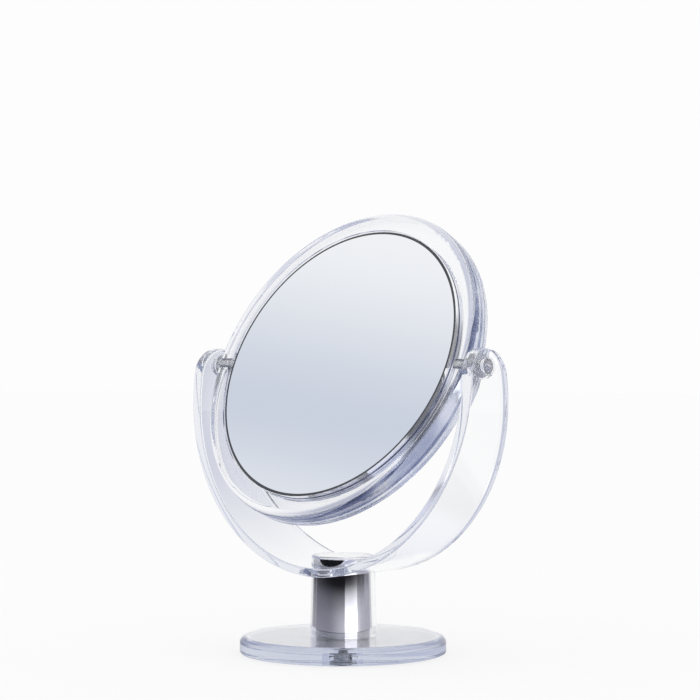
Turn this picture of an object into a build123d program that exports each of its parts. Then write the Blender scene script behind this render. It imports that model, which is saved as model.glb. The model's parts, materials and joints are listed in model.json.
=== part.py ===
"""Two-sided table mirror: a clear ring with two glasses tips between the arms of a clear yoke.

The yoke's neck holds a bright metal sleeve and is screwed to a clear round base from below.
Millimetres, +Z up, +X to the right of someone who looks into the front glass, which faces -Y.
The origin is the centre of the underside, on the surface that the mirror stands on.
"""
import os
from math import cos, hypot, radians, sin, sqrt, tan

from build123d import *

# Glasses
glass_radius = 70.0
glass_thickness = 2.0
glass_set_back = 0.8
glass_edge_gap = 0.2
glass_arris = 0.25
glass_gap = 2.0
dish_rim_width = 4.0
tape_thickness = 2.2
tape_edge_margin = 0.3

# Ring
rim_width = 10.8
ring_depth = 12.0
rear_ring_depth = 3.0
ledge_width = 4.2
front_round = 4.0
rear_round = 2.0
seam_chamfer = 0.3
pocket_chamfer = 0.3

# Pivots
rest_tilt = 25.7
pivot_rise = 9.2
pin_journal_diameter = 5.0
pin_shank_diameter = 4.8
pin_end_wall = 1.8
pin_head_overhang = 0.55
pin_head_height = 1.0
pin_head_round = 0.3
pin_head_sink = 0.15
pin_head_gap = 0.3
pin_mark_diameter = 1.6
pin_mark_depth = 2.0
bush_wall = 1.0
washer_width = 2.7
washer_thickness = 2.0
washer_seat_depth = 0.4
washer_seat_margin = 0.3
boss_wall = 2.4
boss_height = 1.2

# Yoke
arm_thickness = 6.0
crown_thickness = 4.0
arm_half_width = 12.8
crown_half_width = 21.6
flare_slope = 6.0
arm_top_wall = 2.4
yoke_edge_round = 0.8

# Neck and sleeve
neck_height = 29.2
neck_stand = 5.2
neck_wall = 2.55
neck_draft = 1.1
neck_top_round = 0.6
neck_top_wall = 0.6
sleeve_foot_radius = 13.2
sleeve_wall = 0.6
sleeve_inner_round = 0.2

# Base
base_radius = 49.5
base_web = 3.7
base_top_round = 3.3
base_foot_round = 1.2
pad_margin = 4.5
pad_thickness = 0.8
pad_proud = 0.3
pad_edge_round = 0.15
screw_diameter = 5.0
screw_reach = 12.0
screw_head_overhang = 2.0
screw_head_height = 2.6
screw_head_round = 0.85
screw_head_cover = 0.4
screw_slot_width = 1.4
screw_slot_depth = 1.2
screw_tip_chamfer = 0.5
screw_washer_overhang = 2.0
screw_washer_thickness = 1.0
screw_clearance = 0.3
insert_wall = 1.45
insert_length = 11.0

# Clearances
film_gap = 0.05
sleeve_gap = 0.15
running_gap = 0.05

# Radii of the pivot's round pieces, from the pin outwards
journal_radius = pin_journal_diameter / 2
shank_radius = pin_shank_diameter / 2
bush_radius = journal_radius + running_gap + bush_wall
pin_head_radius = bush_radius + pin_head_overhang
boss_radius = bush_radius + film_gap + boss_wall
washer_radius = journal_radius + running_gap + washer_width

# Stations along the pivot axis, outwards from the middle of the head to the arm's inner face
pocket_radius = glass_radius + glass_edge_gap
ring_radius = pocket_radius + rim_width
pin_end_x = pocket_radius + pin_end_wall
washer_seat_x = ring_radius - washer_seat_depth
boss_face_x = washer_seat_x + washer_thickness + 2 * film_gap
arm_inner_x = boss_face_x + boss_height

# Heights of the base, from the surface up
base_bottom = pad_proud
pad_seat = base_bottom + pad_thickness - pad_proud
screw_low = pad_seat + screw_head_cover
screw_washer_low = screw_low + screw_head_height
recess_top = screw_washer_low + screw_washer_thickness
base_top = recess_top + base_web
neck_bottom = base_top + film_gap

# Yoke: an outer and an inner circle, the inner one through the arms' inner faces at the pivots
inner_radius = hypot(arm_inner_x, pivot_rise + arm_thickness - crown_thickness)
yoke_radius = inner_radius + arm_thickness
yoke_bottom = base_top + neck_height
yoke_centre = yoke_bottom + yoke_radius
inner_centre = yoke_bottom + crown_thickness + inner_radius
pivot_height = yoke_centre + pivot_rise
arm_top = pivot_height + boss_radius + arm_top_wall
arm_face_x = sqrt(yoke_radius**2 - pivot_rise**2)
pin_head_top_x = arm_face_x - pin_head_sink
pin_head_low_x = pin_head_top_x - pin_head_height
pin_head_seat_x = pin_head_low_x - film_gap
neck_top = yoke_bottom + crown_thickness + neck_stand

# The head's own directions: outwards from the front glass, and the section through its right half
pivot_point = Vector(0, 0, pivot_height)
facing = Vector(0, -cos(radians(rest_tilt)), sin(radians(rest_tilt)))
head_axis = Axis(pivot_point, facing)
head_section = Plane(pivot_point, x_dir=(1, 0, 0), z_dir=Vector(1, 0, 0).cross(facing))
half_depth = ring_depth / 2
seam = rear_ring_depth - half_depth
glass_front = half_depth - glass_set_back
glass_back = glass_front - glass_thickness
ledge = glass_back - tape_thickness - 2 * film_gap
side_names = {1: "right", -1: "left"}

os.makedirs("parts", exist_ok=True)


def side_plane(side, x):
    """A plane across the pivot axis at distance x, its normal pointing outwards on that side."""
    return Plane((side * x, 0, pivot_height), x_dir=(0, 1, 0), z_dir=(side, 0, 0))


def corner(sketch, x, y):
    """The sketch's corner nearest to a point in its own plane."""
    return sketch.vertices().sort_by_distance((x, y))[0]


def drafted_profile(foot_radius, top, top_round):
    """Half section of a drafted round plug on the base, from the Z axis to its wall."""
    foot_x = foot_radius - (neck_bottom - base_top) * tan(radians(neck_draft))
    top_x = foot_radius - (top - base_top) * tan(radians(neck_draft))
    with BuildSketch(Plane.XZ) as profile:
        with BuildLine():
            Polyline((0, neck_bottom), (foot_x, neck_bottom), (top_x, top), (0, top), close=True)
        make_face()
        fillet(corner(profile, top_x, top), top_round)
    return profile.sketch


def save(piece, name):
    """Labels a finished piece and writes it under its own name."""
    piece.part.label = name
    export_step(piece.part, f"parts/{name}.step")


# Base: a clear disc, fully rounded above, with a screw recess below and a shallow seat for the pad
screw_hole_radius = screw_diameter / 2 + screw_clearance
screw_head_radius = screw_diameter / 2 + screw_head_overhang
screw_washer_radius = screw_head_radius + screw_washer_overhang
pad_radius = base_radius - pad_margin
with BuildPart() as base_disc:
    with BuildSketch(Plane.XY.offset(base_bottom)):
        Circle(base_radius)
    extrude(amount=base_top - base_bottom)
    fillet(base_disc.edges().filter_by(GeomType.CIRCLE).sort_by(Axis.Z)[-1], base_top_round)
    fillet(base_disc.edges().filter_by(GeomType.CIRCLE).sort_by(Axis.Z)[0], base_foot_round)
    with BuildSketch(Plane.XY.offset(base_bottom)):
        Circle(pad_radius + film_gap)
    extrude(amount=pad_seat - base_bottom, mode=Mode.SUBTRACT)
    with BuildSketch(Plane.XY.offset(pad_seat)):
        Circle(screw_washer_radius + screw_clearance)
    extrude(amount=recess_top - pad_seat, mode=Mode.SUBTRACT)
    with BuildSketch(Plane.XY.offset(recess_top)):
        Circle(screw_hole_radius)
    extrude(amount=base_web, mode=Mode.SUBTRACT)
save(base_disc, "base_disc")

# Non-slip pad that covers the screw and carries the mirror
with BuildPart() as base_pad:
    with BuildSketch():
        Circle(pad_radius)
    extrude(amount=pad_thickness - film_gap)
    fillet(base_pad.edges().filter_by(GeomType.CIRCLE).sort_by(Axis.Z)[0], pad_edge_round)
save(base_pad, "base_pad")

# Slotted pan-head screw, driven up through the base into the neck core
screw_top = neck_bottom + screw_reach
with BuildPart() as base_screw:
    with BuildSketch(Plane.XY.offset(screw_low)):
        Circle(screw_head_radius)
    extrude(amount=screw_head_height - film_gap)
    fillet(base_screw.edges().filter_by(GeomType.CIRCLE).sort_by(Axis.Z)[0], screw_head_round)
    with BuildSketch(Plane.XY.offset(screw_low)):
        Circle(screw_diameter / 2)
    extrude(amount=screw_top - screw_low)
    chamfer(base_screw.edges().filter_by(GeomType.CIRCLE).sort_by(Axis.Z)[-1], screw_tip_chamfer)
    with BuildSketch(Plane.XY.offset(screw_low)):
        Rectangle(2 * screw_head_radius, screw_slot_width)
    extrude(amount=screw_slot_depth, mode=Mode.SUBTRACT)
save(base_screw, "base_screw")

# Flat washer that spreads the screw's pull over the base
with BuildPart() as screw_washer:
    with BuildSketch(Plane.XY.offset(screw_washer_low)):
        Circle(screw_washer_radius)
        Circle(screw_hole_radius, mode=Mode.SUBTRACT)
    extrude(amount=screw_washer_thickness - film_gap)
save(screw_washer, "screw_washer")

# Threaded insert in the foot of the neck core
insert_bore_radius = screw_diameter / 2 + film_gap
insert_radius = insert_bore_radius + insert_wall
with BuildPart() as threaded_insert:
    with BuildSketch(Plane.XY.offset(neck_bottom)):
        Circle(insert_radius)
        Circle(insert_bore_radius, mode=Mode.SUBTRACT)
    extrude(amount=insert_length)
save(threaded_insert, "threaded_insert")

# Bright sleeve: a drafted cup that stands upside down inside the clear neck
cavity_top = neck_top - neck_top_wall
sleeve_top = cavity_top - sleeve_gap
sleeve_top_round = sleeve_inner_round + sleeve_wall
sleeve_inner_foot = sleeve_foot_radius - sleeve_wall
sleeve_inner_top = sleeve_top - sleeve_wall
with BuildPart() as chrome_sleeve:
    revolve(drafted_profile(sleeve_foot_radius, sleeve_top, sleeve_top_round), axis=Axis.Z)
    sleeve_hollow = drafted_profile(sleeve_inner_foot, sleeve_inner_top, sleeve_inner_round)
    revolve(sleeve_hollow, axis=Axis.Z, mode=Mode.SUBTRACT)
save(chrome_sleeve, "chrome_sleeve")

# Neck core: the plug inside the sleeve that takes the insert and the screw
core_top = sleeve_inner_top - sleeve_gap
core_bore_top = max(screw_top, neck_bottom + insert_length) + screw_clearance
with BuildPart() as neck_core:
    revolve(drafted_profile(sleeve_inner_foot - film_gap, core_top, sleeve_top_round), axis=Axis.Z)
    with BuildSketch(Plane.XY.offset(neck_bottom)):
        Circle(insert_radius + film_gap)
    extrude(amount=insert_length + film_gap, mode=Mode.SUBTRACT)
    with BuildSketch(Plane.XY.offset(neck_bottom)):
        Circle(screw_hole_radius)
    extrude(amount=core_bore_top - neck_bottom, mode=Mode.SUBTRACT)
save(neck_core, "neck_core")

# Yoke: a crescent band that widens towards the neck, cut to its side outline, with round arm ends
flare_low = Vector(crown_half_width, yoke_bottom)
flare_up = Vector(-sin(radians(flare_slope)), cos(radians(flare_slope)))
arm_end = Vector(0, arm_top - arm_half_width)
flare_high = arm_end + Vector(flare_up.Y, -flare_up.X) * arm_half_width
cavity_foot = sleeve_foot_radius + sleeve_gap
with BuildPart() as yoke:
    with BuildSketch(Plane.XZ):
        with Locations((0, yoke_centre)):
            Circle(yoke_radius)
        with Locations((0, inner_centre)):
            Circle(inner_radius, mode=Mode.SUBTRACT)
    extrude(amount=crown_half_width + arm_half_width, both=True)
    with BuildSketch(Plane.YZ):
        with BuildLine():
            Line((0, base_top), (crown_half_width, base_top))
            Line((crown_half_width, base_top), flare_low)
            TangentArc(flare_high, flare_low, tangent=-flare_up)
            TangentArc(flare_high, (0, arm_top), tangent=flare_up)
            mirror(about=Plane.YZ)
        make_face()
    extrude(amount=yoke_radius + arm_thickness, both=True, mode=Mode.INTERSECT)
    fillet(yoke.edges(), yoke_edge_round)
    revolve(drafted_profile(cavity_foot + neck_wall, neck_top, neck_top_round), axis=Axis.Z)
    neck_cavity = drafted_profile(cavity_foot, cavity_top, sleeve_top_round)
    revolve(neck_cavity, axis=Axis.Z, mode=Mode.SUBTRACT)
    for side in side_names:
        with BuildSketch(side_plane(side, boss_face_x)):
            Circle(boss_radius)
        extrude(amount=boss_height + arm_thickness / 2)
        with BuildSketch(side_plane(side, boss_face_x)):
            Circle(bush_radius + film_gap)
        extrude(amount=yoke_radius - boss_face_x, mode=Mode.SUBTRACT)
        with BuildSketch(side_plane(side, pin_head_seat_x)):
            Circle(pin_head_radius + pin_head_gap)
        extrude(amount=yoke_radius - pin_head_seat_x, mode=Mode.SUBTRACT)
save(yoke, "yoke")

# Front ring: carries both glasses on one ledge and is bored for the pivot pins
ledge_radius = pocket_radius - ledge_width
washer_seat_radius = washer_radius + washer_seat_margin
with BuildPart() as front_ring:
    with BuildSketch(head_section) as front_profile:
        with BuildLine():
            Polyline(
                (ledge_radius, -ledge),
                (pocket_radius, -ledge),
                (pocket_radius, seam + film_gap),
                (ring_radius, seam + film_gap),
                (ring_radius, half_depth),
                (pocket_radius, half_depth),
                (pocket_radius, ledge),
                (ledge_radius, ledge),
                close=True,
            )
        make_face()
        fillet(corner(front_profile, ring_radius, half_depth), front_round)
        chamfer(corner(front_profile, ring_radius, seam), seam_chamfer)
        chamfer(corner(front_profile, pocket_radius, half_depth), pocket_chamfer)
    revolve(axis=head_axis)
    for side in side_names:
        with BuildSketch(side_plane(side, pin_end_x)):
            Circle(shank_radius + film_gap)
        extrude(amount=rim_width, mode=Mode.SUBTRACT)
        with BuildSketch(side_plane(side, washer_seat_x)):
            Circle(washer_seat_radius)
        extrude(amount=washer_thickness, mode=Mode.SUBTRACT)
save(front_ring, "front_ring")

# Rear ring: the narrow half behind the seam, welded flat to the front ring
rear_bore_radius = pocket_radius + film_gap
rear_edge_round = min(rear_round, rear_ring_depth - 2 * seam_chamfer)
with BuildPart() as rear_ring:
    with BuildSketch(head_section) as rear_profile:
        with BuildLine():
            Polyline(
                (rear_bore_radius, -half_depth),
                (ring_radius, -half_depth),
                (ring_radius, seam),
                (rear_bore_radius, seam),
                close=True,
            )
        make_face()
        fillet(corner(rear_profile, ring_radius, -half_depth), rear_edge_round)
        chamfer(corner(rear_profile, ring_radius, seam), seam_chamfer)
        chamfer(corner(rear_profile, rear_bore_radius, -half_depth), pocket_chamfer)
    revolve(axis=head_axis)
    for side in side_names:
        with BuildSketch(side_plane(side, washer_seat_x)):
            Circle(washer_seat_radius)
        extrude(amount=washer_thickness, mode=Mode.SUBTRACT)
save(rear_ring, "rear_ring")

# Plain glass on the front, with a fine arris on its edge
with BuildPart() as front_mirror:
    with BuildSketch(head_section) as front_glass_profile:
        with BuildLine():
            Polyline(
                (0, glass_back),
                (glass_radius, glass_back),
                (glass_radius, glass_front),
                (0, glass_front),
                close=True,
            )
        make_face()
        chamfer(corner(front_glass_profile, glass_radius, glass_front), glass_arris)
    revolve(axis=head_axis)
save(front_mirror, "front_mirror")

# Magnifying glass on the rear: a shallow dish with a flat rim, clear of the front glass's back
dish_radius = glass_radius - dish_rim_width
dish_depth = 2 * glass_back - glass_gap
with BuildPart() as rear_mirror:
    with BuildSketch(head_section) as rear_glass_profile:
        with BuildLine():
            TangentArc((0, dish_depth - glass_front), (dish_radius, -glass_front), tangent=(1, 0))
            Line((dish_radius, -glass_front), (glass_radius, -glass_front))
            Line((glass_radius, -glass_front), (glass_radius, -glass_back))
            Line((glass_radius, -glass_back), (dish_radius, -glass_back))
            TangentArc((0, dish_depth - glass_back), (dish_radius, -glass_back), tangent=(1, 0))
            Line((0, dish_depth - glass_back), (0, dish_depth - glass_front))
        make_face()
        chamfer(corner(rear_glass_profile, glass_radius, -glass_front), glass_arris)
    revolve(axis=head_axis)
save(rear_mirror, "rear_mirror")

# Rings of thick foam tape that hold the two glasses to the ledge
tape_inner = ledge_radius + tape_edge_margin
tape_outer = glass_radius - tape_edge_margin
for name, low in (("front_tape", ledge + film_gap), ("rear_tape", film_gap - glass_back)):
    with BuildPart() as tape_ring:
        with BuildSketch(head_section):
            with BuildLine():
                Polyline(
                    (tape_inner, low),
                    (tape_outer, low),
                    (tape_outer, low + tape_thickness),
                    (tape_inner, low + tape_thickness),
                    close=True,
                )
            make_face()
        revolve(axis=head_axis)
    save(tape_ring, name)

# Pivot pins, bushes and friction washers, one set on each side
pivot_axis = Axis(pivot_point, (1, 0, 0))
shoulder_x = washer_seat_x + film_gap
for side, side_name in side_names.items():
    pivot_section = Plane(pivot_point, x_dir=(side, 0, 0), z_dir=(0, -side, 0))
    with BuildPart() as pivot_pin:
        with BuildSketch(pivot_section) as pin_profile:
            with BuildLine():
                Polyline(
                    (pin_end_x + film_gap, 0),
                    (pin_end_x + film_gap, shank_radius),
                    (shoulder_x, shank_radius),
                    (shoulder_x, journal_radius),
                    (pin_head_low_x, journal_radius),
                    (pin_head_low_x, pin_head_radius),
                    (pin_head_top_x, pin_head_radius),
                    (pin_head_top_x, 0),
                    close=True,
                )
            make_face()
            fillet(corner(pin_profile, pin_head_top_x, pin_head_radius), pin_head_round)
        revolve(axis=pivot_axis)
        with BuildSketch(side_plane(side, pin_head_top_x - pin_mark_depth)):
            Circle(pin_mark_diameter / 2)
        extrude(amount=pin_mark_depth, mode=Mode.SUBTRACT)
    save(pivot_pin, f"{side_name}_pivot_pin")

    with BuildPart() as pivot_bush:
        with BuildSketch(side_plane(side, boss_face_x)):
            Circle(bush_radius)
            Circle(journal_radius + running_gap, mode=Mode.SUBTRACT)
        extrude(amount=pin_head_seat_x - boss_face_x - film_gap)
    save(pivot_bush, f"{side_name}_pivot_bush")

    with BuildPart() as friction_washer:
        with BuildSketch(side_plane(side, shoulder_x)):
            Circle(washer_radius)
            Circle(journal_radius + running_gap, mode=Mode.SUBTRACT)
        extrude(amount=washer_thickness)
    save(friction_washer, f"{side_name}_friction_washer")
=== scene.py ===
"""Looks of the two-sided table mirror: clear stand and ring, silvered glasses and a bright neck sleeve."""
import json
from math import cos, pi, radians, sin

import bpy
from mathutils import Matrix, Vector

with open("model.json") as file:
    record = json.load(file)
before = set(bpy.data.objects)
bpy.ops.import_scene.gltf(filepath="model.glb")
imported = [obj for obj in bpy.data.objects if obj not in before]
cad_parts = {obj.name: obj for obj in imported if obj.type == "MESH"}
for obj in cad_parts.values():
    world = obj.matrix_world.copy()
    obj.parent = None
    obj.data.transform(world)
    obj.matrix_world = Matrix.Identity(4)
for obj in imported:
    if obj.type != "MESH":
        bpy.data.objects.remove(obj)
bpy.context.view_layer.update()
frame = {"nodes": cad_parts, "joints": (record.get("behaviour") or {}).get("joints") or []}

# Base disc: the round foot that carries the neck, with a fully rounded upper rim.
# It is moulded in clear plastic that looks faintly lavender through its depth.
# Slow flow waves from the mould and a breath of handling haze are all that marks it.
CLEAR_INDEX = 1.49
CLEAR_TINT = (0.52, 0.57, 0.71)
CLEAR_COLOUR_THIN = (1.0, 1.0, 1.0)
CLEAR_COLOUR_FLOW = (0.996, 0.997, 1.0)
FLOW_SCALE = 45.0
FLOW_DETAIL = 1.0
FLOW_DEPTH = 0.00001
HAZE_PATCHES = (120.0, 3.0, 0.45, 0.75)
HAZE_ROUGH = 0.02
BASE_DENSITY = 11.0


class Wire:
    """A socket in a node tree. Sums on it add Math nodes, and put() adds a node of any kind."""

    def __init__(self, tree, socket=None):
        self.tree = tree
        self.socket = socket

    def put(self, kind, settings=None, inputs=None, output=0):
        """Adds a node, sets it up, feeds its sockets with values or wires, and returns one output."""
        node = self.tree.nodes.new(kind)
        for name, value in (settings or {}).items():
            setattr(node, name, value)
        for name, value in (inputs or {}).items():
            if isinstance(value, Wire):
                self.tree.links.new(value.socket, node.inputs[name])
            else:
                node.inputs[name].default_value = value
        return Wire(self.tree, node.outputs[output] if node.outputs else None)

    def __add__(self, other):
        return reckon("ADD", self, other)

    def __sub__(self, other):
        return reckon("SUBTRACT", self, other)

    def __rsub__(self, other):
        return reckon("SUBTRACT", other, self)

    def __mul__(self, other):
        return reckon("MULTIPLY", self, other)

    def __truediv__(self, other):
        return reckon("DIVIDE", self, other)

    __radd__ = __add__
    __rmul__ = __mul__


def reckon(operation, first, second=0.0):
    """A Math node on two values, of which at least one is a wire."""
    wire = first if isinstance(first, Wire) else second
    return wire.put("ShaderNodeMath", {"operation": operation}, {0: first, 1: second})


def soft_step(value, low, high):
    """0 below low and 1 above high, with a smooth way between. Low may be the larger one."""
    settings = {"interpolation_type": "SMOOTHSTEP"}
    return value.put("ShaderNodeMapRange", settings, {"Value": value, "From Min": low, "From Max": high})


def blend_colours(mask, first, second):
    """The first colour where the mask is 0, the second where it is 1. Sockets 6 and 7 take colours."""
    ends = [colour if isinstance(colour, Wire) else (*colour, 1.0) for colour in (first, second)]
    return mask.put("ShaderNodeMix", {"data_type": "RGBA"}, {0: mask, 6: ends[0], 7: ends[1]}, output=2)


def noise(place, scale, detail=2.0):
    """Cloudy noise over a piece, finer with a larger scale."""
    return place.put("ShaderNodeTexNoise", None, {"Vector": place, "Scale": scale, "Detail": detail})


def patches(place, scale, detail, low, high):
    """Soft-edged patches: 0 where the noise is below low, 1 where it is above high."""
    return soft_step(noise(place, scale, detail), low, high)


def bump(height, depth):
    """Normals that follow a height, with its depth in metres."""
    return height.put("ShaderNodeBump", None, {"Strength": 1.0, "Distance": depth, "Height": height})


def new_finish(name):
    """An empty material, and a wire from the place on the piece to put its nodes on."""
    finish = bpy.data.materials.new(name)
    finish.use_nodes = True
    finish.node_tree.nodes.clear()
    return finish, Wire(finish.node_tree).put("ShaderNodeTexCoord", output="Object")


def clear_shader(place, frost=0.0):
    """The polished skin of the clear plastic, duller by the frost where there is some."""
    flow = noise(place, FLOW_SCALE, FLOW_DETAIL)
    haze = patches(place, *HAZE_PATCHES)
    sockets = {
        "Base Color": blend_colours(flow, CLEAR_COLOUR_THIN, CLEAR_COLOUR_FLOW),
        "Roughness": haze * HAZE_ROUGH + frost,
        "IOR": CLEAR_INDEX,
        "Transmission Weight": 1.0,
        "Normal": bump(flow, FLOW_DEPTH),
    }
    return place.put("ShaderNodeBsdfPrincipled", None, sockets)


def close_clear(place, shader, density):
    """Ends a clear material with its skin, and with the tint that light takes on its way through."""
    tint = {"Color": (*CLEAR_TINT, 1.0), "Density": density}
    depth = place.put("ShaderNodeVolumeAbsorption", None, tint)
    place.put("ShaderNodeOutputMaterial", None, {"Surface": shader, "Volume": depth})


def dress(finish, *names):
    """Gives solids of the frame their finish."""
    for name in names:
        frame["nodes"][name].material_slots[0].material = finish


base_finish, place = new_finish("clear_base")
close_clear(place, clear_shader(place), BASE_DENSITY)
dress(base_finish, "base_disc")

# Base pad: the non-slip disc under the base, which also covers the screw.
# It is soft translucent vinyl with a fine moulded grain, pressed into a shallow seat.
PAD_COLOUR = (0.90, 0.91, 0.95)
PAD_COLOUR_WORN = (0.80, 0.81, 0.86)
PAD_WEAR = (60.0, 2.0, 0.4, 0.7)
PAD_ROUGH = (0.35, 0.55)
PAD_INDEX = 1.5
PAD_CLEARNESS = 0.8
PAD_GRAIN = 1800.0
PAD_GRAIN_DEPTH = 0.00003


def between(mask, low, high):
    """The low value where the mask is 0, the high one where it is 1."""
    return low + mask * (high - low)


def close_finish(place, sockets):
    """Ends a material with its shader."""
    shader = place.put("ShaderNodeBsdfPrincipled", None, sockets)
    place.put("ShaderNodeOutputMaterial", None, {"Surface": shader})


pad_finish, place = new_finish("pad_vinyl")
grain = place.put("ShaderNodeTexVoronoi", None, {"Vector": place, "Scale": PAD_GRAIN})
wear = patches(place, *PAD_WEAR)
close_finish(
    place,
    {
        "Base Color": blend_colours(wear, PAD_COLOUR, PAD_COLOUR_WORN),
        "Roughness": between(wear, *PAD_ROUGH),
        "IOR": PAD_INDEX,
        "Transmission Weight": PAD_CLEARNESS,
        "Normal": bump(grain, PAD_GRAIN_DEPTH),
    },
)
dress(pad_finish, "base_pad")

# Base screw and its washer: they pull the base up against the neck.
# Zinc-plated steel, cold headed, the thread rolled on and a little dull.
STEEL_BRIGHT = (0.58, 0.59, 0.61)
STEEL_DULL = (0.42, 0.43, 0.44)
STEEL_PATCHES = (900.0, 4.0, 0.35, 0.7)
STEEL_ROUGH = (0.25, 0.45)
THREAD_PITCH = 0.0008
THREAD_DEPTH = 0.00025
THREAD_LOW = 0.0048
THREAD_RUN_OUT = 0.0004


def coordinate(place, axis):
    """How far along X, Y or Z a place is."""
    return place.put("ShaderNodeSeparateXYZ", None, {0: place}, output=axis)


steel_finish, place = new_finish("screw_steel")
height = coordinate(place, "Z")
thread = reckon("SINE", height * (2 * pi / THREAD_PITCH))
thread = thread * soft_step(height, THREAD_LOW, THREAD_LOW + THREAD_RUN_OUT)
dull = patches(place, *STEEL_PATCHES)
close_finish(
    place,
    {
        "Base Color": blend_colours(dull, STEEL_BRIGHT, STEEL_DULL),
        "Metallic": 1.0,
        "Roughness": between(dull, *STEEL_ROUGH),
        "Normal": bump(thread, THREAD_DEPTH),
    },
)
dress(steel_finish, "base_screw", "screw_washer")

# Threaded insert: the brass nut that the screw bites into.
# Turned from bar, its outside knurled in a diamond so that it holds in the core.
BRASS_BRIGHT = (0.78, 0.62, 0.34)
BRASS_DARK = (0.52, 0.38, 0.18)
BRASS_ROUGH = (0.38, 0.26)
KNURL_COUNT = 44
KNURL_PITCH = 0.0012
KNURL_DEPTH = 0.0002
KNURL_POLISHED = (-1.5, 1.0)

brass_finish, place = new_finish("insert_brass")
lead = reckon("ARCTAN2", coordinate(place, "Y"), coordinate(place, "X")) * KNURL_COUNT
climb = coordinate(place, "Z") * (2 * pi / KNURL_PITCH)
knurl = reckon("SINE", lead + climb) + reckon("SINE", lead - climb)
polished = soft_step(knurl, *KNURL_POLISHED)
close_finish(
    place,
    {
        "Base Color": blend_colours(polished, BRASS_DARK, BRASS_BRIGHT),
        "Metallic": 1.0,
        "Roughness": between(polished, *BRASS_ROUGH),
        "Normal": bump(knurl, KNURL_DEPTH),
    },
)
dress(brass_finish, "threaded_insert")

# Neck core: the plug inside the sleeve that holds the insert.
# Black moulded plastic with an eroded matt grain, out of sight but for its foot.
CORE_BLACK = (0.045, 0.045, 0.052)
CORE_GREY = (0.080, 0.080, 0.090)
CORE_ROUGH = (0.45, 0.65)
CORE_GRAIN = 2500.0
CORE_GRAIN_DETAIL = 3.0
CORE_GRAIN_DEPTH = 0.00002

core_finish, place = new_finish("core_plastic")
grain = noise(place, CORE_GRAIN, CORE_GRAIN_DETAIL)
close_finish(
    place,
    {
        "Base Color": blend_colours(grain, CORE_BLACK, CORE_GREY),
        "Roughness": between(grain, *CORE_ROUGH),
        "Normal": bump(grain, CORE_GRAIN_DEPTH),
    },
)
dress(core_finish, "neck_core")

# Chrome sleeve: the bright drafted cup inside the neck.
# Deep-drawn metal, polished and plated, with the faintest lines from drawing along its height.
CHROME_COLOUR = (0.80, 0.80, 0.85)
CHROME_CLOUD = (0.74, 0.74, 0.79)
CHROME_PATCHES = (90.0, 2.0, 0.35, 0.7)
CHROME_ROUGH = (0.012, 0.032)
DRAW_LINES = 700.0
DRAW_STRETCH = (1.0, 1.0, 0.02)
DRAW_DEPTH = 0.000001


def vector_maths(operation, first, second=None, output=0):
    """A Vector Math node on one or two vectors. Its output 1 is a number."""
    ends = {0: first} if second is None else {0: first, 1: second}
    return first.put("ShaderNodeVectorMath", {"operation": operation}, ends, output)


chrome_finish, place = new_finish("bright_chrome")
lines = noise(vector_maths("MULTIPLY", place, DRAW_STRETCH), DRAW_LINES)
cloud = patches(place, *CHROME_PATCHES)
close_finish(
    place,
    {
        "Base Color": blend_colours(cloud, CHROME_COLOUR, CHROME_CLOUD),
        "Metallic": 1.0,
        "Roughness": between(lines, *CHROME_ROUGH),
        "Normal": bump(lines, DRAW_DEPTH),
    },
)
dress(chrome_finish, "chrome_sleeve")

# Yoke: one clear moulding of neck tube, crown, two flaring arms and the pivot bosses.
# The same clear plastic as the base; it slips over the sleeve and its arms spring round the head.
YOKE_DENSITY = 8.0

yoke_finish, place = new_finish("clear_yoke")
close_clear(place, clear_shader(place), YOKE_DENSITY)
dress(yoke_finish, "yoke")

# Pivot bushes and friction washers: they line the arms and grip the head so that it stays put.
# Natural nylon, cut from tube and punched from sheet, translucent at this thickness.
NYLON_CLEAR = (0.96, 0.962, 0.99)
NYLON_MILKY = (0.93, 0.932, 0.97)
NYLON_PATCHES = (500.0, 3.0, 0.35, 0.7)
NYLON_ROUGH = (0.3, 0.45)
NYLON_INDEX = 1.5

nylon_finish, place = new_finish("natural_nylon")
milk = patches(place, *NYLON_PATCHES)
close_finish(
    place,
    {
        "Base Color": blend_colours(milk, NYLON_CLEAR, NYLON_MILKY),
        "Roughness": between(milk, *NYLON_ROUGH),
        "IOR": NYLON_INDEX,
        "Transmission Weight": 1.0,
    },
)
dress(nylon_finish, "left_pivot_bush", "right_pivot_bush", "left_friction_washer", "right_friction_washer")

# Pivot pins: headed pins pressed through the arms into the ring, with a sunk gate mark in the head.
# Clear plastic like the yoke, left with the satin skin of the mould.
PIN_FROST = 0.14
PIN_DENSITY = 8.0

pin_finish, place = new_finish("clear_pin")
close_clear(place, clear_shader(place, PIN_FROST), PIN_DENSITY)
dress(pin_finish, "left_pivot_pin", "right_pivot_pin")

# Front and rear ring: the thick clear rim round the glasses, welded along a fine seam near its back.
# The same clear plastic, its outer corner fully rounded at the front and its pin holes left frosted.
# The bore is sprayed silver behind the front glass, so that no tape shows through the rim.
RING_DENSITY = 7.0
BORE_SILVER = (0.93, 0.935, 0.96)
BORE_SILVER_THIN = (0.72, 0.75, 0.85)
BORE_SPRAY = (90.0, 4.0, 0.3, 0.7)
BORE_ROUGH = (0.10, 0.22)
BORE_RADIUS = 0.07035
BORE_LEVEL = 0.0025
PIN_HOLE_RADIUS = 0.0028
PIN_HOLE_FROST = 0.45
EDGE_SOFT = 0.00006
REST_TILT = radians(25.7)
OFF_PIN_AXIS = (0, 1, 1)

pivot = Vector(frame["joints"][0]["pos_m"])
facing = Vector((0, -cos(REST_TILT), sin(REST_TILT)))


def along(place, direction):
    """How far a place or a ray goes in a direction."""
    return vector_maths("DOT_PRODUCT", place, direction, output=1)


def head_offset(place):
    """From the middle of the head to a place on it."""
    return vector_maths("SUBTRACT", place, pivot)


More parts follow.
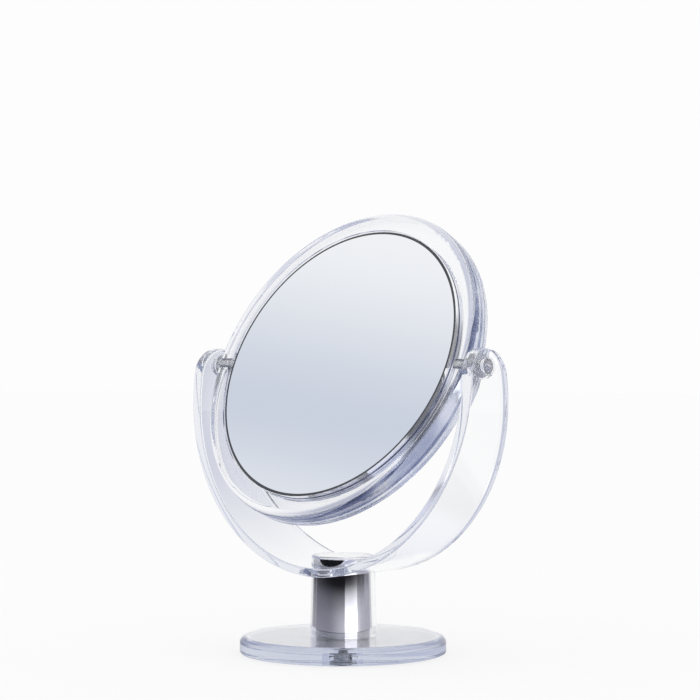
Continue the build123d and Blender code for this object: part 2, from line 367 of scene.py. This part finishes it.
def head_reach(place):
    """How far a place on the head is from the head's axis."""
    return vector_maths("LENGTH", vector_maths("CROSS_PRODUCT", head_offset(place), facing), output=1)


def below(value, limit):
    """1 below the limit and 0 above it, with a hair's width between."""
    return soft_step(value, limit + EDGE_SOFT, limit - EDGE_SOFT)


ring_finish, place = new_finish("clear_ring")
bore = below(head_reach(place), BORE_RADIUS) * below(along(head_offset(place), facing), BORE_LEVEL)
pin_reach = vector_maths("LENGTH", vector_maths("MULTIPLY", head_offset(place), OFF_PIN_AXIS), output=1)
frost = below(pin_reach, PIN_HOLE_RADIUS) * PIN_HOLE_FROST
spray = patches(place, *BORE_SPRAY)
silver_coat = {
    "Base Color": blend_colours(spray, BORE_SILVER, BORE_SILVER_THIN),
    "Metallic": 1.0,
    "Roughness": between(spray, *BORE_ROUGH),
}
sprayed = place.put("ShaderNodeBsdfPrincipled", None, silver_coat)
rim = place.put("ShaderNodeMixShader", None, {0: bore, 1: clear_shader(place, frost), 2: sprayed})
close_clear(place, rim, RING_DENSITY)
dress(ring_finish, "front_ring", "rear_ring")

# Mounting tapes: two thin rings of white foam tape that hold the glasses to the ring's ledge.
# Die-cut foam with open pores and a slightly grey edge.
TAPE_WHITE = (0.90, 0.90, 0.91)
TAPE_PORE = (0.74, 0.74, 0.76)
TAPE_ROUGH = (0.8, 0.95)
TAPE_PORES = 3500.0
TAPE_PORE_EDGE = (0.5, 0.1)
TAPE_PORE_DEPTH = 0.00005

tape_finish, place = new_finish("mounting_tape")
pores = place.put("ShaderNodeTexVoronoi", None, {"Vector": place, "Scale": TAPE_PORES})
close_finish(
    place,
    {
        "Base Color": blend_colours(soft_step(pores, *TAPE_PORE_EDGE), TAPE_WHITE, TAPE_PORE),
        "Roughness": between(pores, *TAPE_ROUGH),
        "Normal": bump(pores, TAPE_PORE_DEPTH),
    },
)
dress(tape_finish, "front_tape", "rear_tape")

# Front glass and rear glass: a plain mirror, and a dished one that magnifies, taped into the ring.
# Float glass, silvered at the back and painted over with a pale lacquer.
# The edge is ground matt, and a near-black band is painted over the fine arris at the front: painted shade
# for the gap between glass and ring.
SILVER = (0.870, 0.888, 0.925)
SILVER_CLOUD = (0.862, 0.882, 0.922)
SILVER_CLOUDS = 25.0
LACQUER = (0.80, 0.83, 0.90)
LACQUER_THIN = (0.74, 0.77, 0.85)
LACQUER_CLOUDS = (150.0, 4.0)
EDGE_PALE = (0.80, 0.83, 0.88)
EDGE_GREY = (0.70, 0.74, 0.80)
EDGE_GRAIN = 2000.0
MATT_ROUGH = 0.5
GLASS_INDEX = 1.52
GLASS_MIDDLE = 0.0042
DISH_DEPTH = 0.0044
DISH_RADIUS = 0.066
ARRIS_GAP_SHADE = (0.040, 0.045, 0.055)
ARRIS_START = 0.0687
ARRIS_DEPTH = 0.0007
FLAT_MIDDLE = (0.0080, 0.0083)


def blend_vectors(mask, first, second):
    """The first vector where the mask is 0, the second where it is 1. Sockets 4 and 5 take vectors."""
    return mask.put("ShaderNodeMix", {"data_type": "VECTOR"}, {0: mask, 4: first, 5: second}, output=1)


def silvered_glass(name, outwards, dish_depth):
    """A mirror that faces outwards. At its very middle it takes the normals of its plain faces."""
    finish, place = new_finish(name)
    reach = head_reach(place)
    level = along(head_offset(place), outwards)
    dish = reckon("MAXIMUM", 1 - reach * reach * (1 / DISH_RADIUS**2), 0.0) * dish_depth
    rise = level + dish - GLASS_MIDDLE
    back = below(rise, 0.0)
    rim = soft_step(reach, ARRIS_START, ARRIS_START + EDGE_SOFT)
    # Painted shade: the outer band of the face and the front of the edge go near-black, for the gap
    # between glass and ring.
    painted_gap_shade = soft_step(rise, ARRIS_DEPTH, ARRIS_DEPTH + EDGE_SOFT)
    matt = reckon("MAXIMUM", back, rim)
    silver = blend_colours(noise(place, SILVER_CLOUDS), SILVER, SILVER_CLOUD)
    lacquer = blend_colours(noise(place, *LACQUER_CLOUDS), LACQUER, LACQUER_THIN)
    ground = blend_colours(noise(place, EDGE_GRAIN), EDGE_PALE, EDGE_GREY)
    edge = blend_colours(painted_gap_shade, ground, ARRIS_GAP_SHADE)
    flat = place.put("ShaderNodeNewGeometry", output="True Normal")
    smooth = place.put("ShaderNodeNewGeometry", output="Normal")
    close_finish(
        place,
        {
            "Base Color": blend_colours(rim, blend_colours(back, silver, lacquer), edge),
            "Metallic": 1 - matt,
            "Roughness": matt * MATT_ROUGH,
            "Coat Weight": 1 - matt,
            "Coat IOR": GLASS_INDEX,
            "Normal": blend_vectors(soft_step(reach, *FLAT_MIDDLE), flat, smooth),
        },
    )
    return finish


dress(silvered_glass("mirror_glass", facing, 0.0), "front_mirror")
dress(silvered_glass("mirror_glass_dished", -facing, DISH_DEPTH), "rear_mirror")

# Camera: stands a metre off at the height of the head, well to the right of the front glass.
# A long lens, so that the ring and the base keep their shape.
CAMERA_TURN = radians(42.855)
CAMERA_DISTANCE = 1.0375
CAMERA_HEIGHT = 0.1422
CAMERA_YAW = radians(0.1837)
CAMERA_PITCH = radians(0.1636)
FOCAL_LENGTH = 111.17
SENSOR_WIDTH = 36.0

away = Vector((-sin(CAMERA_TURN), cos(CAMERA_TURN), 0))
right = Vector((cos(CAMERA_TURN), sin(CAMERA_TURN), 0))
up = Vector((0, 0, 1))
aim = away * cos(CAMERA_YAW) + right * sin(CAMERA_YAW)
aim = aim * cos(CAMERA_PITCH) + up * sin(CAMERA_PITCH)
scene = bpy.context.scene
camera = bpy.data.objects.new("camera", bpy.data.cameras.new("camera"))
camera.data.sensor_width = SENSOR_WIDTH
camera.data.lens = FOCAL_LENGTH
camera.location = up * CAMERA_HEIGHT - away * CAMERA_DISTANCE
camera.rotation_mode = "QUATERNION"
camera.rotation_quaternion = aim.to_track_quat("-Z", "Y")
scene.collection.objects.link(camera)
scene.camera = camera

# Floor: a white sheet that keeps a faint shadow of the mirror.
# Clear pieces mirror it in a painted soft lavender, with painted shade deeper in front of the mirror and
# white behind it.
# The neck mirrors a painted pool of light round the foot, painted dark beyond and a painted beam from the
# front right.
# The sheet gives off these painted colours only to rays that a polished surface has mirrored.
FLOOR_HALF = 6.0
FLOOR_DROP = 0.0002
WHITE = (0.982, 0.982, 0.982)
SHEET_COLOUR = (0.97, 0.97, 0.97)
SHADOW_SHARE = 0.22
SOFT_COLOUR = (0.74, 0.76, 0.85)
SOFT_FRONT_SHADE = (0.47, 0.51, 0.64)
FOOT_PAINTED_LIGHT = (0.80, 0.81, 0.92)
POOL_COLOUR = (0.29, 0.29, 0.34)
BEAM_COLOUR = (2.0, 2.0, 2.03)
PAINTED_DARK_COLOUR = (0.012, 0.012, 0.014)
RIM_PAINTED_SHADE = (0.02, 0.02, 0.03)
PANEL_COLOUR = (0.55, 0.575, 0.69)
GLOW_SHARE = 0.21
SPILL_SHARE = 0.11
SPILL_MORE = 0.16
POOL_STRETCH = 0.95

# How far out the looks change, in metres from the middle of the foot.
FOOT_NEAR = 0.09
POOL_NEAR = 0.12
POOL_NEAR_LATE = 0.30
POOL_FAR = 0.55
POOL_FAR_MORE = 0.06
SHEET_FAR = (0.85, 1.1)
FRONT_NEAR = (0.1, 0.2)
FRONT_FAR = (1.2, 0.8)
LIT_NEAR = (0.11, 0.16)
PANEL_HALFWAY_SQUARED = 0.6

# Where the looks change round the mirror, in degrees to the right of the camera's side.
GLOW_START = (-60, 12)
BEAM_START = (5, 10)
BEAM_END = (55, 60)
SPILL_END = (90, 55)
LATE_START = (35, 110)
DARK_START = (-160, -145)
DARK_END = (128, 118)
POOL_BACK_LEFT = (-145, -160)
POOL_BACK_RIGHT = (127, 137)
BACK_LEFT = (-160, -174)
BACK_RIGHT = (132, 150)
PANEL_START = (-180, -174)
PANEL_END = (-100, -130)
FRONT_START = (-50, -20)
FRONT_END = (75, 45)
LIT_START = (40, 60)

# What tells rays from the neck and the base's rim: their length against their reach, in metres,
# and how many clear surfaces and mirrors they have met.
NECK_TOP_SQUARED = (0.0044, 0.0034)
NECK_SHORTER = (-0.024, -0.020)
NECK_FAR = (1.1, 1.0)
RIM_SHORTER = (-0.030, -0.036)
RIM_PASSAGES = 4.5
RIM_REFLECTIONS = 2.5

floor_mesh = bpy.data.meshes.new("floor")
corners = [(x * FLOOR_HALF, y * FLOOR_HALF, 0) for x, y in ((-1, -1), (1, -1), (1, 1), (-1, 1))]
floor_mesh.from_pydata(corners, [], [(0, 1, 2, 3)])
floor = bpy.data.objects.new("floor", floor_mesh)
floor.location.z = -FLOOR_DROP
scene.collection.objects.link(floor)


def turn_in_room(place):
    """The angle to the right of the camera's side, seen from the mirror, from -pi to pi."""
    return reckon("ARCTAN2", along(place, right), along(place, -away))


def sector(turn, start, full):
    """0 up to the start and 1 once full, both in degrees."""
    return soft_step(turn, radians(start), radians(full))


def light_beam(turn):
    """The sector that the light at the front right fills: soft to its left, sharper to its right."""
    glow = sector(turn, *GLOW_START) * GLOW_SHARE
    passed = sector(turn, *BEAM_END)
    beam = sector(turn, *BEAM_START) * (1 - passed)
    spill = passed * (SPILL_SHARE + SPILL_MORE * sector(turn, *SPILL_END))
    return reckon("MINIMUM", glow * (1 - passed) + beam + spill, 1.0)


def dark_sector(turn):
    """The unlit side of the room: in front of the mirror and round to its left."""
    return sector(turn, *DARK_START) * sector(turn, *DARK_END)


def back_sector(turn):
    """The white sheet behind the mirror, which reaches further round on its right."""
    return reckon("MAXIMUM", sector(turn, *BACK_LEFT), sector(turn, *BACK_RIGHT))


def panel_sector(turn):
    """The grey panel behind the mirror on its left."""
    return sector(turn, *PANEL_START) * sector(turn, *PANEL_END)


def ray_fact(place, name):
    """What a ray has met, or how long it is."""
    return place.put("ShaderNodeLightPath", output=name)


def once(place, name):
    """1 on rays that have met such a surface at least once."""
    return reckon("MINIMUM", ray_fact(place, name), 1.0)


def neck_ray(reach, length):
    """1 on rays that come to the floor from the neck, by how high and how far out they start."""
    low = soft_step(length * length - reach * reach, *NECK_TOP_SQUARED)
    return low * soft_step(length - reach, *NECK_SHORTER) * soft_step(reach, *NECK_FAR)


def rim_ray(place, reach, length):
    """1 on rays that the sleeve mirrors and that come to the floor through the rim of the base."""
    passed = reckon("GREATER_THAN", ray_fact(place, "Transmission Depth"), RIM_PASSAGES)
    few = reckon("LESS_THAN", ray_fact(place, "Glossy Depth"), RIM_REFLECTIONS)
    return passed * few * soft_step(length - reach, *RIM_SHORTER)


floor_finish, place = new_finish("floor_sheet")
turn = turn_in_room(place)
forward = along(place, -away)
aside = along(place, right) * POOL_STRETCH
reach = reckon("SQRT", forward * forward + aside * aside)

dark = dark_sector(turn)
dark_near = between(sector(turn, *LATE_START), POOL_NEAR, POOL_NEAR_LATE)
dark_far = POOL_FAR + sector(turn, *BEAM_START) * POOL_FAR_MORE
pool_back = reckon("MAXIMUM", sector(turn, *POOL_BACK_LEFT), sector(turn, *POOL_BACK_RIGHT))
# Painted light in what the neck mirrors: a bright pool at the foot, a dim pool with a painted beam,
# painted dark beyond.
pool = blend_colours(light_beam(turn), POOL_COLOUR, BEAM_COLOUR)
pool = blend_colours(soft_step(reach, FOOT_NEAR, POOL_NEAR), FOOT_PAINTED_LIGHT, pool)
pool = blend_colours(soft_step(reach, dark_near, dark_far) * dark, pool, PAINTED_DARK_COLOUR)
pool = blend_colours(soft_step(reach, *SHEET_FAR) * (1 - dark), pool, WHITE)
pool = blend_colours(pool_back, pool, WHITE)

# Painted shade in what clear pieces mirror: darker lavender in front of the mirror, white where lit and
# behind it.
front = sector(turn, *FRONT_START) * sector(turn, *FRONT_END)
front = front * soft_step(reach, *FRONT_NEAR) * soft_step(reach, *FRONT_FAR)
lit = sector(turn, *LIT_START) * soft_step(reach, *LIT_NEAR)
soft = blend_colours(front, SOFT_COLOUR, SOFT_FRONT_SHADE)
soft = blend_colours(reckon("MAXIMUM", lit, back_sector(turn)), soft, WHITE)

plain_reach = vector_maths("LENGTH", place, output=1)
length = ray_fact(place, "Ray Length")
seen = blend_colours(neck_ray(plain_reach, length), soft, pool)
# Painted shade: near-black for the sleeve's rays that come through the base's rim, a dark line at the
# sleeve's foot.
seen = blend_colours(rim_ray(place, plain_reach, length), seen, RIM_PAINTED_SHADE)

panel = once(place, "Transmission Depth") * panel_sector(turn)
panel = panel * (reach * reach / (reach * reach + PANEL_HALFWAY_SQUARED))
sheet = place.put("ShaderNodeBsdfDiffuse", None, {"Color": (*SHEET_COLOUR, 1.0)})
white = place.put("ShaderNodeEmission", None, {"Color": (*WHITE, 1.0)})
plain = place.put("ShaderNodeMixShader", None, {0: SHADOW_SHARE, 1: white, 2: sheet})
grey = place.put("ShaderNodeEmission", None, {"Color": (*PANEL_COLOUR, 1.0)})
plain = place.put("ShaderNodeMixShader", None, {0: panel, 1: plain, 2: grey})
shiny = place.put("ShaderNodeEmission", None, {"Color": seen})
surface = place.put("ShaderNodeMixShader", None, {0: once(place, "Glossy Depth"), 1: plain, 2: shiny})
place.put("ShaderNodeOutputMaterial", None, {"Surface": surface})
floor_mesh.materials.append(floor_finish)

# Studio: an even white surround, as in a light tent, that lights everything at a plain level.
# Polished surfaces also show its lavender front, and the front glass a grey card that it faces.
# The sleeve shows its dark side and the light at the front right.
DARK_SIDE = (0.02, 0.02, 0.024)
DARK_TOP = (0.35, 0.25)
SLEEVE_PASSAGES = 4.0
SLEEVE_REFLECTIONS = 3.5
WHITE_TOP = (0.5, 0.8)
PANEL_TOP = (0.5, 0.2)
CARD_LIGHT = (0.985, 0.985, 0.98)
CARD_DARK = (0.675, 0.715, 0.79)
CARD_SLANT = 0.19
CARD_EDGE = (0.9, 0.97)
CARD_FADE = (0.06, -0.032)
CARD_RETURN = (-0.028, -0.085)
CARD_RETURN_SHARE = 0.6


def sleeve_ray(ray):
    """1 on rays that the sleeve mirrors through the neck's wall: four passages, three mirrors at most."""
    passed = reckon("COMPARE", ray_fact(ray, "Transmission Depth"), SLEEVE_PASSAGES)
    return passed * reckon("LESS_THAN", ray_fact(ray, "Glossy Depth"), SLEEVE_REFLECTIONS)


def mirrored_in_glass(direction):
    """A direction as the front glass turns it."""
    return direction - 2 * direction.dot(facing) * facing


world = bpy.data.worlds.new("studio")
scene.world = world
world.use_nodes = True
world.node_tree.nodes.clear()
ray = Wire(world.node_tree).put("ShaderNodeTexCoord", output="Generated")
turn = turn_in_room(ray)
height = along(ray, up)

lit = reckon("MAXIMUM", soft_step(height, *WHITE_TOP), back_sector(turn))
lit = reckon("MAXIMUM", sector(turn, *LIT_START), lit)
dark = dark_sector(turn) * soft_step(height, *DARK_TOP)
unlit = blend_colours(light_beam(turn), DARK_SIDE, BEAM_COLOUR)
room = blend_colours(lit, SOFT_COLOUR, WHITE)
room = blend_colours(sleeve_ray(ray) * dark, room, unlit)

rise = along(ray, mirrored_in_glass(up) + CARD_SLANT * mirrored_in_glass(right))
shade = soft_step(rise, *CARD_FADE) * (1 - CARD_RETURN_SHARE * soft_step(rise, *CARD_RETURN))
card = soft_step(along(ray, mirrored_in_glass(away)), *CARD_EDGE)
room = blend_colours(card, room, blend_colours(shade, CARD_LIGHT, CARD_DARK))

panel = once(ray, "Transmission Depth") * panel_sector(turn) * soft_step(height, *PANEL_TOP)
plain = blend_colours(panel, WHITE, PANEL_COLOUR)
light = blend_colours(once(ray, "Glossy Depth"), plain, room)
background = ray.put("ShaderNodeBackground", None, {"Color": light})
ray.put("ShaderNodeOutputWorld", None, {"Surface": background})

# Render settings: plain colours, and enough bounces for clear pieces inside clear pieces.
MOST_BOUNCES = 100
CLEAR_BOUNCES = 80
MIRROR_BOUNCES = 80

scene.view_settings.view_transform = "Standard"
scene.cycles.max_bounces = MOST_BOUNCES
scene.cycles.transmission_bounces = CLEAR_BOUNCES
scene.cycles.glossy_bounces = MIRROR_BOUNCES
